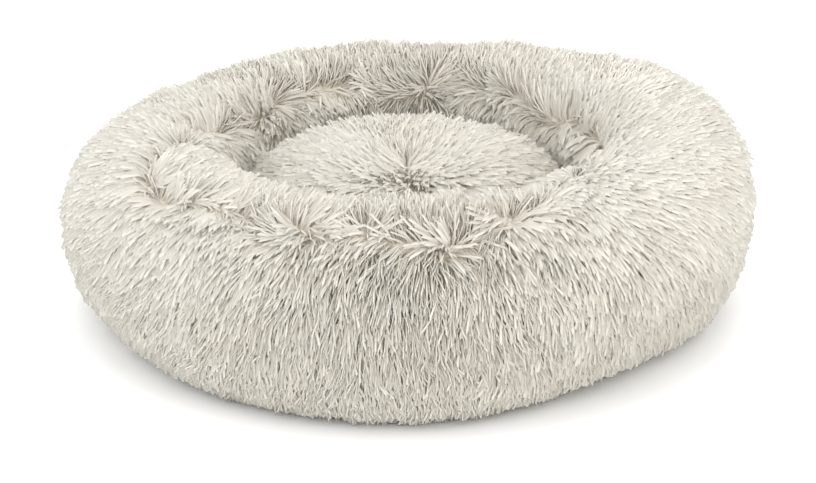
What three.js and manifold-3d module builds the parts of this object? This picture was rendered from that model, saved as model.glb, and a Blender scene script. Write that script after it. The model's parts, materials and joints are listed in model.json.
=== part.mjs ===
// A round "donut" pet bed, in millimetres, +Z up. The origin is the middle of the underside, on the floor.
//
// A stuffed ring, the bolster, stands round a loose centre cushion. The bolster's cover is long-pile fur
// cloth, cut as three equal panels that are sewn end to end and down to a flat base panel. A zip in the back
// of the cover lets the stuffed liner out for washing. The centre cushion lifts straight up out of the ring.
// The fur panels are as thick as their pile when it is brushed down.
import * as THREE from "three";
import { mergeVertices } from "three/addons/utils/BufferGeometryUtils.js";
import Module from "manifold-3d";

const wasm = await Module();
wasm.setup();

// Bolster: its section is a squashed round, with a rounder crest than foot
const BOLSTER_OUTER_RADIUS = 350;
const BOLSTER_INNER_RADIUS = 172;
const BOLSTER_HEIGHT = 200;
const BOLSTER_WIDEST_HEIGHT = 100;
const CREST_POWER = 2.3;
const FOOT_POWER = 3.4;
const FUR_THICKNESS = 14;
const SEAM_ALLOWANCE = 13; // the fur panel's edge that is turned in under the liner
const SEAM_THICKNESS = 1.5;
const FUR_PANELS = 3;
const REAR_PANEL = 1;
const FIRST_SEAM_AZIMUTH = -82.5; // the seam at the front of the bed, a whole number of facets from 0
const LINER_THICKNESS = 1.5;
const LINER_SLIT_LENGTH = 120;
const LINER_SLIT_DROP = 20; // below the bolster's narrowest place

// Base panel
const BASE_THICKNESS = 2;
const BASE_EDGE_INSET = 6; // from the outside of the bolster's foot

// Care label, sewn into the back of the base seam
const LABEL_AZIMUTH = 112.5;
const LABEL_WIDTH = 26;
const LABEL_LENGTH = 38;
const LABEL_THICKNESS = 0.8;
const LABEL_LIFT = 0.4;

// Zip in the rear fur panel
const ZIP_FIRST_AZIMUTH = 45;
const ZIP_LAST_AZIMUTH = 150;
const ZIP_DROP = 38; // of the middle of its chain below the bolster's widest place
const ZIP_WIDTH = 28; // over both tapes
const TAPE_THICKNESS = 0.8;
const COIL_THICKNESS = 2.4;
const COIL_WIDTH = 1.8; // of one row
const COIL_PARTING = 1.4; // the slit between the rows, which the slider's post runs in
const TOP_STOP_LENGTH = 2;
const BOTTOM_STOP_LENGTH = 3.5;

// Zip slider and its pull
const SLIDER_LENGTH = 11;
const SLIDER_HEIGHT = 9;
const SLIDER_TAIL_HEIGHT = 6.6;
const SLIDER_PLATE = 1.4;
const SLIDER_SHOULDER = 2; // along the zip, of the plate's rounded wide corners
const SLIDER_TAIL_ROUND = 1;
const SLIDER_CLEARANCE = 0.8; // each side of the chain
const SLIDER_LINER_CLEARANCE = 0.9;
const SLIDER_POST_LENGTH = 2.5;
const SLIDER_POST_CLEARANCE = 0.35;
const BAIL_LENGTH = 7;
const BAIL_WIDTH = 2;
const BAIL_WIRE = 1.1;
const PULL_THICKNESS = 1.2;
const PULL_CLEARANCE = 0.9;
const PULL_WIDTH = 7;
const PULL_LENGTH = 27;
const PULL_END_CLEARANCE = 2.5; // from the pull's tip to the end of the slit, wherever the slider is
const PULL_BAR = 1.2;
const PULL_WINDOW_LENGTH = 7.5;
const PULL_HOLE_RADIUS = 1.6;

// Centre cushion: a full pillow
const CUSHION_CLEARANCE = 4; // all round, inside the bolster's narrowest place
const CUSHION_HEIGHT = 166;
const CUSHION_WIDEST_HEIGHT = 95; // above its own underside
const CUSHION_POWER = 2.6;
const CUSHION_FUR_THICKNESS = 14;
const CUSHION_FOOT_INSET = 38; // from its widest place
const CUSHION_UNDERSIDE_THICKNESS = 2;

// Fineness and fits
const ROUND_STEPS = 48; // facets of a full turn
const SECTION_STEPS = 16; // points round the section of the liner, its filling and the fur's hollow
const OUTER_STEPS = 20; // facets over the outside of the fur
const PILLOW_STEPS = 10;
const ZIP_STEP_DEGREES = 3;
const DISC_STEPS = 16;
const CORNER_STEPS = 5;
const GAP = 0.3; // between pieces that lie against each other

const BOLSTER_MIDDLE_RADIUS = (BOLSTER_OUTER_RADIUS + BOLSTER_INNER_RADIUS) / 2;
const BOLSTER_HALF_WIDTH = (BOLSTER_OUTER_RADIUS - BOLSTER_INNER_RADIUS) / 2;
const FOOT_LEVEL = BASE_THICKNESS + GAP;

const materials = {
  fur: new THREE.MeshStandardMaterial({ color: 0xd9d5c8, roughness: 0.95, metalness: 0 }),
  liner: new THREE.MeshStandardMaterial({ color: 0xf2f2ee, roughness: 0.9, metalness: 0 }),
  filling: new THREE.MeshStandardMaterial({ color: 0xfafaf7, roughness: 1, metalness: 0 }),
  base: new THREE.MeshStandardMaterial({ color: 0x8f8b82, roughness: 0.8, metalness: 0 }),
  tape: new THREE.MeshStandardMaterial({ color: 0xcfcabd, roughness: 0.85, metalness: 0 }),
  coil: new THREE.MeshStandardMaterial({ color: 0xd8d4c8, roughness: 0.45, metalness: 0 }),
  metal: new THREE.MeshStandardMaterial({ color: 0xb9b9b6, roughness: 0.35, metalness: 1 }),
  label: new THREE.MeshStandardMaterial({ color: 0xf4f3ef, roughness: 0.6, metalness: 0 }),
};

const bed = new THREE.Group();

// ---- shared helpers ----

function solidOf(geometry) {
  const bare = geometry.clone();
  bare.deleteAttribute("normal");
  bare.deleteAttribute("uv");
  const merged = mergeVertices(bare, 1e-4);
  return new wasm.Manifold(
    new wasm.Mesh({
      numProp: 3,
      vertProperties: new Float32Array(merged.attributes.position.array),
      triVerts: new Uint32Array(merged.index.array),
    }),
  );
}

function geometryOf(solid) {
  const mesh = solid.getMesh();
  const geometry = new THREE.BufferGeometry();
  geometry.setAttribute("position", new THREE.BufferAttribute(mesh.vertProperties, 3));
  geometry.setIndex(new THREE.BufferAttribute(mesh.triVerts, 1));
  geometry.computeVertexNormals();
  return geometry;
}

function addPiece(name, geometry, material, parent = bed) {
  const mesh = new THREE.Mesh(geometry, material);
  mesh.name = name;
  parent.add(mesh);
}

// A full turn about Z of an outline of [radius, height] pairs, anticlockwise, closed or from axis to axis
function fullTurn(outline) {
  const points = outline.map(([radius, height]) => new THREE.Vector2(radius, height));
  if (outline[0][0] > 0) points.push(points[0].clone());
  return new THREE.LatheGeometry(points, ROUND_STEPS).rotateX(Math.PI / 2);
}

// The part of a circle about Z between two azimuths, in degrees
class AzimuthArc extends THREE.Curve {
  constructor(first, last) {
    super();
    this.first = THREE.MathUtils.degToRad(first);
    this.turn = THREE.MathUtils.degToRad(last - first);
  }

  getPoint(t, target = new THREE.Vector3()) {
    const angle = this.first + t * this.turn;
    return target.set(Math.cos(angle), Math.sin(angle), 0);
  }

  getTangent(t, target = new THREE.Vector3()) {
    const angle = this.first + t * this.turn;
    return target.set(-Math.sin(angle), Math.cos(angle), 0);
  }
}

// A closed outline of [radius, height] pairs, swept about Z between two azimuths
function partTurn(outline, first, last, steps) {
  const shape = new THREE.Shape(outline.map(([radius, height]) => new THREE.Vector2(-height, 1 - radius)));
  return new THREE.ExtrudeGeometry(shape, { extrudePath: new AzimuthArc(first, last), steps });
}

function rectangle(innerRadius, outerRadius, low, high) {
  return [
    [innerRadius, low],
    [outerRadius, low],
    [outerRadius, high],
    [innerRadius, high],
  ];
}

function plainBox(radius, across, height, [x, y, z]) {
  return new THREE.BoxGeometry(radius, across, height).translate(x, y, z);
}

// ---- bolster ----

const LINER_OUTER_RADIUS = BOLSTER_OUTER_RADIUS - FUR_THICKNESS - GAP;
const SLIDER_HALF_DEPTH = COIL_THICKNESS / 2 + SLIDER_CLEARANCE + SLIDER_PLATE;
// The zip's radius is that of the middle of its tapes
const ZIP_RADIUS = LINER_OUTER_RADIUS + SLIDER_LINER_CLEARANCE + SLIDER_HALF_DEPTH;
const ZIP_HEIGHT = BOLSTER_WIDEST_HEIGHT - ZIP_DROP;

const signedPower = (value, power) => Math.sign(value) * Math.abs(value) ** power;

// A point of the bolster's section, inset from its outside and no lower than asked.
// The angle is 0 at the outer side, 90 at the crest and 270 at the foot.
function sectionPoint(degrees, inset, low) {
  const angle = THREE.MathUtils.degToRad(degrees);
  const isFoot = Math.sin(angle) < 0;
  const power = isFoot ? FOOT_POWER : CREST_POWER;
  const above = BOLSTER_HEIGHT - BOLSTER_WIDEST_HEIGHT - inset;
  const halfHeight = isFoot ? BOLSTER_WIDEST_HEIGHT - low : above;
  return [
    BOLSTER_MIDDLE_RADIUS + (BOLSTER_HALF_WIDTH - inset) * signedPower(Math.cos(angle), 2 / power),
    BOLSTER_WIDEST_HEIGHT + halfHeight * signedPower(Math.sin(angle), 2 / power),
  ];
}

function sectionRing(inset, low) {
  return Array.from({ length: SECTION_STEPS }, (_, i) => sectionPoint((i * 360) / SECTION_STEPS, inset, low));
}

// The section's angle on its outer side at which the outside comes down to the base panel
function footAngle() {
  const sine = ((BOLSTER_WIDEST_HEIGHT - FOOT_LEVEL) / BOLSTER_WIDEST_HEIGHT) ** (FOOT_POWER / 2);
  return -THREE.MathUtils.radToDeg(Math.asin(sine));
}

// One fur panel's section: over the outside, then back along the hollow that holds the liner
function furSection() {
  const foot = footAngle();
  const outside = Array.from({ length: OUTER_STEPS + 1 }, (_, i) =>
    sectionPoint(foot + ((180 - 2 * foot) * i) / OUTER_STEPS, 0, 0),
  );
  const hollow = Array.from({ length: SECTION_STEPS - 1 }, (_, i) =>
    sectionPoint(270 - ((i + 1) * 360) / SECTION_STEPS, FUR_THICKNESS, BASE_THICKNESS),
  );
  const innerEdge = outside.at(-1)[0] + SEAM_ALLOWANCE;
  const outerEdge = outside[0][0] - SEAM_ALLOWANCE;
  return [
    ...outside,
    [innerEdge, FOOT_LEVEL],
    [innerEdge, FOOT_LEVEL + SEAM_THICKNESS],
    ...hollow,
    [outerEdge, FOOT_LEVEL + SEAM_THICKNESS],
    [outerEdge, FOOT_LEVEL],
  ];
}

function furPanel(index) {
  const span = 360 / FUR_PANELS;
  const halfSeam = THREE.MathUtils.radToDeg(GAP / 2 / BOLSTER_INNER_RADIUS);
  const first = FIRST_SEAM_AZIMUTH + index * span;
  return partTurn(furSection(), first + halfSeam, first + span - halfSeam, ROUND_STEPS / FUR_PANELS);
}

// The slit that the zip closes goes right through the panel, and the panel holds together at its two ends
function rearFurPanel() {
  const outline = rectangle(
    BOLSTER_OUTER_RADIUS - 2 * FUR_THICKNESS,
    BOLSTER_OUTER_RADIUS + FUR_THICKNESS,
    ZIP_HEIGHT - ZIP_WIDTH / 2,
    ZIP_HEIGHT + ZIP_WIDTH / 2,
  );
  const steps = Math.round((ZIP_LAST_AZIMUTH - ZIP_FIRST_AZIMUTH) / ZIP_STEP_DEGREES);
  const slit = partTurn(outline, ZIP_FIRST_AZIMUTH, ZIP_LAST_AZIMUTH, steps);
  return geometryOf(solidOf(furPanel(REAR_PANEL)).subtract(solidOf(slit)));
}

// The liner is a closed bag of plain cloth round the filling, with the slit that it was stuffed through
function liner() {
  const outerInset = FUR_THICKNESS + GAP;
  const outside = solidOf(fullTurn(sectionRing(outerInset, BASE_THICKNESS + GAP)));
  const innerInset = outerInset + LINER_THICKNESS;
  const inside = solidOf(fullTurn(sectionRing(innerInset, BASE_THICKNESS + GAP + LINER_THICKNESS)));
  const slit = plainBox(6 * LINER_THICKNESS, LINER_SLIT_LENGTH, LINER_THICKNESS, [
    BOLSTER_INNER_RADIUS + FUR_THICKNESS,
    0,
    BOLSTER_WIDEST_HEIGHT - LINER_SLIT_DROP,
  ]);
  return geometryOf(outside.subtract(inside).subtract(solidOf(slit)));
}

function bolsterFilling() {
  const inset = FUR_THICKNESS + LINER_THICKNESS + 2 * GAP;
  return fullTurn(sectionRing(inset, BASE_THICKNESS + LINER_THICKNESS + 2 * GAP));
}

addPiece("bolster_fur_front_right", furPanel(0), materials.fur);
addPiece("bolster_fur_rear", rearFurPanel(), materials.fur);
addPiece("bolster_fur_front_left", furPanel(2), materials.fur);
addPiece("bolster_liner", liner(), materials.liner);
addPiece("bolster_filling", bolsterFilling(), materials.filling);

// ---- base ----

function disc(radius, low, high) {
  return fullTurn([
    [0, low],
    [radius, low],
    [radius, high],
    [0, high],
  ]);
}

const BASE_RADIUS = sectionPoint(footAngle(), 0, 0)[0] - BASE_EDGE_INSET;

function careLabel() {
  const first = BASE_RADIUS + GAP;
  return plainBox(LABEL_LENGTH, LABEL_WIDTH, LABEL_THICKNESS, [
    first + LABEL_LENGTH / 2,
    0,
    LABEL_LIFT + LABEL_THICKNESS / 2,
  ]).rotateZ(THREE.MathUtils.degToRad(LABEL_AZIMUTH));
}

addPiece("base_panel", disc(BASE_RADIUS, 0, BASE_THICKNESS), materials.base);
addPiece("care_label", careLabel(), materials.label);

// ---- zip ----

const degreesFor = (length) => THREE.MathUtils.radToDeg(length / ZIP_RADIUS);
const END_GAP = degreesFor(GAP);
const TAPE_TAIL = PULL_LENGTH - SLIDER_LENGTH / 2 + PULL_END_CLEARANCE; // of bare tape beyond the stops

const tapeFirst = ZIP_FIRST_AZIMUTH + END_GAP;
const tapeLast = ZIP_LAST_AZIMUTH - END_GAP;
const topStopFirst = tapeFirst + degreesFor(TAPE_TAIL);
const topStopLast = topStopFirst + degreesFor(TOP_STOP_LENGTH);
const bottomStopLast = tapeLast - degreesFor(TAPE_TAIL);
const bottomStopFirst = bottomStopLast - degreesFor(BOTTOM_STOP_LENGTH);
const coilFirst = topStopLast + END_GAP;
const coilLast = bottomStopFirst - END_GAP;

// A band along the zip, with two heights measured from the middle of its chain
function zipBand(thickness, low, high, first, last) {
  const steps = Math.max(1, Math.round((last - first) / ZIP_STEP_DEGREES));
  const inner = ZIP_RADIUS - thickness / 2;
  const outline = rectangle(inner, inner + thickness, ZIP_HEIGHT + low, ZIP_HEIGHT + high);
  return partTurn(outline, first, last, steps);
}

// The same band above or below the middle, where side is 1 or -1
function sideBand(side, thickness, near, far, first, last) {
  const [low, high] = side > 0 ? [near, far] : [-far, -near];
  return zipBand(thickness, low, high, first, last);
}

const ROW_NEAR = COIL_PARTING / 2;
const ROW_FAR = ROW_NEAR + COIL_WIDTH;
const TAPE_FAR = ZIP_WIDTH / 2 - GAP;
const STOP_THICKNESS = COIL_THICKNESS + GAP;

for (const [name, side] of [["upper", 1], ["lower", -1]]) {
  const tape = sideBand(side, TAPE_THICKNESS, ROW_FAR + GAP, TAPE_FAR, tapeFirst, tapeLast);
  const coil = sideBand(side, COIL_THICKNESS, ROW_NEAR, ROW_FAR, coilFirst, coilLast);
  const topStop = sideBand(side, STOP_THICKNESS, ROW_NEAR, ROW_FAR, topStopFirst, topStopLast);
  addPiece(`zip_tape_${name}`, tape, materials.tape);
  addPiece(`zip_coil_${name}`, coil, materials.coil);
  addPiece(`zip_top_stop_${name}`, topStop, materials.metal);
}
const bottomStop = zipBand(STOP_THICKNESS, -ROW_FAR, ROW_FAR, bottomStopFirst, bottomStopLast);
addPiece("zip_bottom_stop", bottomStop, materials.metal);

// The slider and pull are drawn at azimuth 0, where X is out from the bed, Y along the zip and Z up.
const PLATE_IN = ZIP_RADIUS + COIL_THICKNESS / 2 + SLIDER_CLEARANCE;
const PLATE_OUT = ZIP_RADIUS + SLIDER_HALF_DEPTH;
const PULL_AXIS_RADIUS = PLATE_OUT + PULL_CLEARANCE + PULL_THICKNESS / 2;
const SLIDER_AZIMUTH = coilFirst + degreesFor(SLIDER_LENGTH / 2);

// A shape drawn with its x along the zip and its y up, as thick as asked, from a radius outwards
function facingPlate(shape, radius, thickness) {
  const settings = { depth: thickness, bevelEnabled: false, curveSegments: CORNER_STEPS };
  return new THREE.ExtrudeGeometry(shape, settings)
    .rotateX(Math.PI / 2)
    .rotateZ(Math.PI / 2)
    .translate(radius, 0, ZIP_HEIGHT);
}

// A slider plate is wide where the rows come in apart and narrow where they leave meshed
function plateShape() {
  const half = SLIDER_LENGTH / 2;
  const wide = SLIDER_HEIGHT / 2;
  const narrow = SLIDER_TAIL_HEIGHT / 2;
  const shape = new THREE.Shape();
  shape.moveTo(-half, -narrow);
  shape.quadraticCurveTo(-half, -wide, -half + SLIDER_SHOULDER, -wide);
  shape.lineTo(0, -wide);
  shape.lineTo(half - SLIDER_TAIL_ROUND, -narrow);
  shape.quadraticCurveTo(half, 0, half - SLIDER_TAIL_ROUND, narrow);
  shape.lineTo(0, wide);
  shape.lineTo(-half + SLIDER_SHOULDER, wide);
  shape.quadraticCurveTo(-half, wide, -half, narrow);
  return shape;
}

function zipSlider() {
  const outerPlate = solidOf(facingPlate(plateShape(), PLATE_IN, SLIDER_PLATE));
  const innerPlate = solidOf(facingPlate(plateShape(), ZIP_RADIUS - SLIDER_HALF_DEPTH, SLIDER_PLATE));
  const postDepth = 2 * SLIDER_HALF_DEPTH - SLIDER_PLATE;
  const postHeight = COIL_PARTING - 2 * SLIDER_POST_CLEARANCE;
  const postPlace = [ZIP_RADIUS, SLIDER_POST_LENGTH - SLIDER_LENGTH / 2, ZIP_HEIGHT];
  const post = solidOf(plainBox(postDepth, SLIDER_POST_LENGTH, postHeight, postPlace));
  return geometryOf(outerPlate.add(innerPlate).add(post).add(sliderBail()));
}

// The bail is a low bridge of wire that the pull hangs in
function sliderBail() {
  const holeOut = PULL_AXIS_RADIUS + PULL_THICKNESS / 2 + PULL_CLEARANCE;
  const foot = PLATE_OUT - SLIDER_PLATE / 2;
  const out = holeOut + BAIL_WIRE;
  const block = plainBox(out - foot, BAIL_LENGTH, BAIL_WIDTH, [(out + foot) / 2, 0, ZIP_HEIGHT]);
  const holeLength = BAIL_LENGTH - 2 * BAIL_WIRE;
  const holePlace = [(holeOut + PLATE_OUT) / 2, 0, ZIP_HEIGHT];
  const hole = plainBox(holeOut - PLATE_OUT, holeLength, 2 * BAIL_WIDTH, holePlace);
  return solidOf(block).subtract(solidOf(hole));
}

// A disc that faces out from the bed, with its middle some way along the zip
function facingDisc(radius, thickness, along) {
  return new THREE.CylinderGeometry(radius, radius, thickness, DISC_STEPS)
    .rotateZ(Math.PI / 2)
    .translate(PULL_AXIS_RADIUS, along, ZIP_HEIGHT);
}

// The pull's near bar runs through the bail, and one leg of the bail stands in its window
function zipPull() {
  const half = PULL_WIDTH / 2;
  const bar = PULL_BAR / 2;
  const length = PULL_LENGTH - half + bar;
  const platePlace = [PULL_AXIS_RADIUS, length / 2 - bar, ZIP_HEIGHT];
  const plate = plainBox(PULL_THICKNESS, length, PULL_WIDTH, platePlace);
  const windowWidth = BAIL_WIDTH + 2 * PULL_CLEARANCE;
  const windowPlace = [PULL_AXIS_RADIUS, bar + PULL_WINDOW_LENGTH / 2, ZIP_HEIGHT];
  const window = plainBox(2 * PULL_THICKNESS, PULL_WINDOW_LENGTH, windowWidth, windowPlace);
  const end = facingDisc(half, PULL_THICKNESS, PULL_LENGTH - half);
  const hole = facingDisc(PULL_HOLE_RADIUS, 2 * PULL_THICKNESS, PULL_LENGTH - half);
  return geometryOf(solidOf(plate).add(solidOf(end)).subtract(solidOf(window)).subtract(solidOf(hole)));
}

const sliderPlace = new THREE.Group();
sliderPlace.rotation.z = THREE.MathUtils.degToRad(SLIDER_AZIMUTH);
bed.add(sliderPlace);
addPiece("zip_slider", zipSlider(), materials.metal, sliderPlace);
addPiece("zip_pull", zipPull(), materials.metal, sliderPlace);

// ---- centre cushion ----

const CUSHION_LOW = BASE_THICKNESS + GAP;
const CUSHION_RADIUS = BOLSTER_INNER_RADIUS - CUSHION_CLEARANCE;
const CUSHION_HOLLOW_LOW = CUSHION_UNDERSIDE_THICKNESS + GAP; // above the cushion's own underside

// Half of a pillow's section from its foot, out round its widest place and up to the axis,
// inset from the cushion's outside and no lower than asked
function pillowSide(inset, low) {
  const below = CUSHION_WIDEST_HEIGHT - low;
  const above = CUSHION_HEIGHT - CUSHION_WIDEST_HEIGHT - inset;
  const footShare = (CUSHION_RADIUS - CUSHION_FOOT_INSET) / CUSHION_RADIUS;
  const firstAngle = -Math.acos(footShare ** (CUSHION_POWER / 2));
  const footDrop = Math.abs(Math.sin(firstAngle)) ** (2 / CUSHION_POWER);
  return Array.from({ length: PILLOW_STEPS + 1 }, (_, i) => {
    const angle = firstAngle + ((Math.PI / 2 - firstAngle) * i) / PILLOW_STEPS;
    const rise = signedPower(Math.sin(angle), 2 / CUSHION_POWER);
    const height = rise < 0 ? (rise / footDrop) * below : rise * above;
    const radius = i === PILLOW_STEPS ? 0 : (CUSHION_RADIUS - inset) * Math.cos(angle) ** (2 / CUSHION_POWER);
    return [radius, CUSHION_LOW + CUSHION_WIDEST_HEIGHT + height];
  });
}

function cushionFurTop() {
  const outside = pillowSide(0, 0);
  const inside = pillowSide(CUSHION_FUR_THICKNESS, CUSHION_HOLLOW_LOW);
  const footEdge = [inside[0][0], CUSHION_LOW];
  return fullTurn([[0, inside.at(-1)[1]], ...inside.slice(0, -1).reverse(), footEdge, ...outside]);
}

function cushionFilling() {
  const side = pillowSide(CUSHION_FUR_THICKNESS + GAP, CUSHION_HOLLOW_LOW + GAP);
  return fullTurn([[0, side[0][1]], ...side]);
}

function cushionUnderside() {
  const radius = pillowSide(CUSHION_FUR_THICKNESS, CUSHION_HOLLOW_LOW)[0][0] - GAP;
  return disc(radius, CUSHION_LOW, CUSHION_LOW + CUSHION_UNDERSIDE_THICKNESS);
}

addPiece("cushion_fur_top", cushionFurTop(), materials.fur);
addPiece("cushion_filling", cushionFilling(), materials.filling);
addPiece("cushion_underside", cushionUnderside(), materials.base);

export default bed;
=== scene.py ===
# Looks for a round, long-pile pet bed. Metres, +Z up, the front of the bed towards -Y.
import bpy
import bmesh
import json
import math
from mathutils import Matrix, Quaternion, Vector, noise

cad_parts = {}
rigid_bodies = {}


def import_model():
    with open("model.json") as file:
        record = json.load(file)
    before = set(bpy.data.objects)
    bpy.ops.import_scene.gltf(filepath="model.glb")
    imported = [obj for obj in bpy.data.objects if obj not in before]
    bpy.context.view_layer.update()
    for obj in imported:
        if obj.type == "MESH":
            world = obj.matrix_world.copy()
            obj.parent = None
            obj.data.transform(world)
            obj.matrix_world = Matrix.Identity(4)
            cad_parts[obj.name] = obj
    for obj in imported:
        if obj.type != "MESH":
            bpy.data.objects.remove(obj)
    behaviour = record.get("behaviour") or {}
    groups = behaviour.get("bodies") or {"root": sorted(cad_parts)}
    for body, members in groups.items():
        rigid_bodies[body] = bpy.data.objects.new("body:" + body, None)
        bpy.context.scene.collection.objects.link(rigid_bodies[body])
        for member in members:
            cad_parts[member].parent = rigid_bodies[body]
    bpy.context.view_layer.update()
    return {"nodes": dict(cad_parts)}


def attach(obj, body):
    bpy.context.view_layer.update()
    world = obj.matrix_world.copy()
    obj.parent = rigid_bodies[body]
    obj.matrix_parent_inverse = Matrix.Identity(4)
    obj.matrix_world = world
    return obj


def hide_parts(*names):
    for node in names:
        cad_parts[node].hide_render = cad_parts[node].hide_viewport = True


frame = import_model()
noise.seed_set(1)  # without a seed, noise vectors differ from run to run
print("stage: frame loaded")

# the bolster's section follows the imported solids
bolster = {
    "outerRadius": 0.350,
    "innerRadius": 0.172,
    "height": 0.200,
    "widestHeight": 0.100,
    "crestPower": 2.3,
    "footPower": 3.4,
    "skinInset": 0.0128,  # the cloth lies this far inside the tips of its brushed pile
    "skinLow": 0.0035,
    "roundSteps": 288,
    "sectionSteps": 96,
    "lump": 0.0042,
    "lumpSize": 0.105,
}
bolster["middleRadius"] = (bolster["outerRadius"] + bolster["innerRadius"]) / 2
bolster["halfWidth"] = (bolster["outerRadius"] - bolster["innerRadius"]) / 2


def turned(degrees):
    return (degrees + 180) % 360 - 180


def signedPower(value, power):
    return math.copysign(abs(value) ** power, value)


def smooth(value, low, high):
    share = min(1.0, max(0.0, (value - low) / (high - low)))
    return share * share * (3 - 2 * share)


def mix(a, b, share):
    return a + (b - a) * share


# places where the stuffed shape differs from an even ring
stuffing = {
    # azimuth, section angle, reach of each, and how far the cloth moves outwards
    "swells": [
        (-50, -30, 28, 34, -0.013),
        (-108, -44, 18, 20, -0.005),
        (-150, -50, 22, 28, -0.011),
        (25, 74, 30, 40, 0.007),
        (36, 56, 20, 26, 0.007),
        (10, 46, 24, 32, 0.004),
        (82, 82, 24, 40, -0.004),
        (160, 94, 18, 50, -0.009),
        (142, 80, 10, 40, -0.015),
        (126, 64, 16, 26, -0.010),
        (158, 50, 16, 26, -0.006),
        (-176, 55, 24, 40, -0.005),
    ],
    # azimuth, reach, and how far the foot is tucked in under the wall
    "tucks": [(-48, 30, 0.021), (-150, 24, 0.004)],
}


# a point of the section: 0 is the outer side, 90 the crest, 180 the inner side and 270 the foot
def sectionPlace(degrees, inset):
    angle = math.radians(degrees)
    isFoot = math.sin(angle) < 0
    power = bolster["footPower"] if isFoot else bolster["crestPower"]
    above = bolster["height"] - bolster["widestHeight"] - inset
    below = bolster["widestHeight"] - bolster["skinLow"]
    radius = bolster["middleRadius"]
    radius += (bolster["halfWidth"] - inset) * signedPower(math.cos(angle), 2 / power)
    rise = (below if isFoot else above) * signedPower(math.sin(angle), 2 / power)
    return Vector((radius, 0, bolster["widestHeight"] + rise))


# stage: floor, light and camera
view = {
    "elevation": 20.3,
    "distance": 2.2,
    "target": (0.0012, 0.0, 0.0615),
    "lens": 95.5,
    "roll": -0.1,
}


def makeCamera():
    elevation = math.radians(view["elevation"])
    data = bpy.data.cameras.new("camera")
    data.lens = view["lens"]
    data.sensor_width = 36
    data.clip_end = 50
    camera = bpy.data.objects.new("camera", data)
    middle = Vector((view["target"][0], 0, 0.1))
    offset = Vector((0, -math.cos(elevation), math.sin(elevation))) * view["distance"]
    camera.location = middle + offset
    look = Vector(view["target"]) - camera.location
    roll = Quaternion((0, 0, 1), math.radians(view["roll"]))
    camera.rotation_euler = (look.to_track_quat("-Z", "Y") @ roll).to_euler()
    bpy.context.scene.collection.objects.link(camera)
    bpy.context.scene.camera = camera


lights = {
    "worldStrength": 1.46,
    "worldColour": (1.0, 1.0, 1.0, 1),
    "floorColour": (0.93, 0.93, 0.93, 1),
    "lamps": [
        # name, place, size, power, colour
        ("key", (-0.3, -0.9, 2.8), 2.4, 11, (1.0, 0.99, 0.97)),
        ("left fill", (-1.6, -1.8, 1.4), 2.4, 11, (0.84, 0.93, 1.0)),
        ("right fill", (1.6, -1.9, 1.3), 2.4, 9.5, (1.0, 0.97, 0.88)),
        ("back", (0.1, 1.2, 2.4), 2.2, 8, (1.0, 0.99, 0.97)),
    ],
}


def makeFloor():
    bm = bmesh.new()
    bmesh.ops.create_grid(bm, x_segments=1, y_segments=1, size=14)
    data = bpy.data.meshes.new("floor")
    bm.to_mesh(data)
    bm.free()
    floor = bpy.data.objects.new("floor", data)
    bpy.context.scene.collection.objects.link(floor)
    material = bpy.data.materials.new("floor")
    material.use_nodes = True
    shader = material.node_tree.nodes["Principled BSDF"]
    shader.inputs["Base Color"].default_value = lights["floorColour"]
    shader.inputs["Roughness"].default_value = 0.9
    shader.inputs["Specular IOR Level"].default_value = 0.1
    data.materials.append(material)


def makeLights():
    world = bpy.data.worlds.new("studio")
    world.use_nodes = True
    background = world.node_tree.nodes["Background"]
    background.inputs["Color"].default_value = lights["worldColour"]
    background.inputs["Strength"].default_value = lights["worldStrength"]
    bpy.context.scene.world = world
    for name, place, size, power, colour in lights["lamps"]:
        data = bpy.data.lights.new(name, "AREA")
        data.size = size
        data.energy = power
        data.color = colour
        lamp = bpy.data.objects.new(name, data)
        lamp.location = place
        lamp.rotation_euler = (Vector((0, 0, 0.05)) - Vector(place)).to_track_quat("-Z", "Y").to_euler()
        bpy.context.scene.collection.objects.link(lamp)
    bpy.context.scene.view_settings.view_transform = "Standard"


makeCamera()
makeFloor()
makeLights()
print("stage: floor, lights and camera")


# fur: which way the pile is brushed
brush = {
    # azimuth, section angle, reach and strength of each whorl on the bolster
    "whorls": [
        (-110, 61, 0.032, 0.45),
        (-96, 66, 0.024, 0.2),
        (-84, 51, 0.026, 0.32),
        (-134, 66, 0.028, 0.3),
        (-164, 116, 0.044, 0.8),
        (138, 142, 0.040, 0.7),
        (85, 137, 0.034, 0.4),
        (59, 134, 0.034, 0.3),
        (25, 126, 0.036, 0.45),
    ],
    "curl": 0.8,  # how much a whorl turns
    "warp": 0.024,  # how far the whorls are pushed out of round
    "fan": 0.85,
    "fanCentre": -92,
    # azimuth, and the section angle of the parting there
    "parting": [
        (-180, 122), (-160, 104), (-138, 62), (-108, 61), (-84, 56), (-68, 72), (-52, 108),
        (-20, 128), (25, 140), (60, 132), (85, 137), (110, 134), (140, 142), (160, 136), (180, 122),
    ],
}


def partingAt(azimuth):
    stops = brush["parting"]
    for (a, first), (b, last) in zip(stops, stops[1:]):
        if a <= azimuth <= b:
            return mix(first, last, smooth(azimuth, a, b))
    return stops[0][1]


# a spot on the bolster's outline, by its azimuth and by the angle seen from the section's middle
def ringSpot(azimuth, section):
    angle = math.radians(section)
    power = bolster["crestPower"] if math.sin(angle) > 0 else bolster["footPower"]
    far = (abs(math.cos(angle)) ** power + abs(math.sin(angle)) ** power) ** (-1 / power)
    radius = bolster["middleRadius"] + (bolster["halfWidth"] - bolster["skinInset"]) * far * math.cos(angle)
    rise = bolster["widestHeight"] + (bolster["widestHeight"] - bolster["skinInset"]) * far * math.sin(angle)
    turn = math.radians(azimuth)
    return Vector((radius * math.cos(turn), radius * math.sin(turn), rise))


whorlSpots = [
    (ringSpot(azimuth, section), reach, strength)
    for azimuth, section, reach, strength in brush["whorls"]
]


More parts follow.
